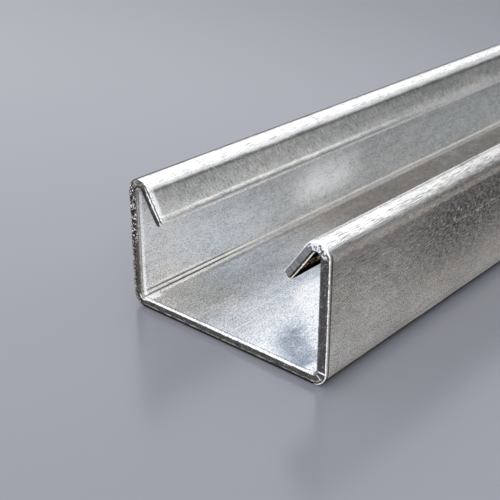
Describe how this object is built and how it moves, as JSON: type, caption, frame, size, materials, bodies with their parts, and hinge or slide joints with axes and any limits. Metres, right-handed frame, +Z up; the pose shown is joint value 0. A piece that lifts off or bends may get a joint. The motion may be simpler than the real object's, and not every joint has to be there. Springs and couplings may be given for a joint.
{
  "type": "strut channel",
  "caption": "Plain low-profile strut channel, a roll-formed galvanised steel U whose walls fold back inwards as sloping lips beside a full-length slot.",
  "frame": {"origin": "middle of the web's underside, at mid-length, where the channel rests on the floor", "axes": "+Y along the channel, +X across its width, +Z up through the slot; the cut end at -Y is the one usually seen"},
  "size_m": [0.0412, 1, 0.0235],
  "materials": {
    "galvanised_steel": "hot-dip zinc coated before rolling, satin with a fine grain and faint drawing lines along the length"
  },
  "bodies": {
    "root": {"channel": "galvanised_steel"}
  },
  "joints": []
}
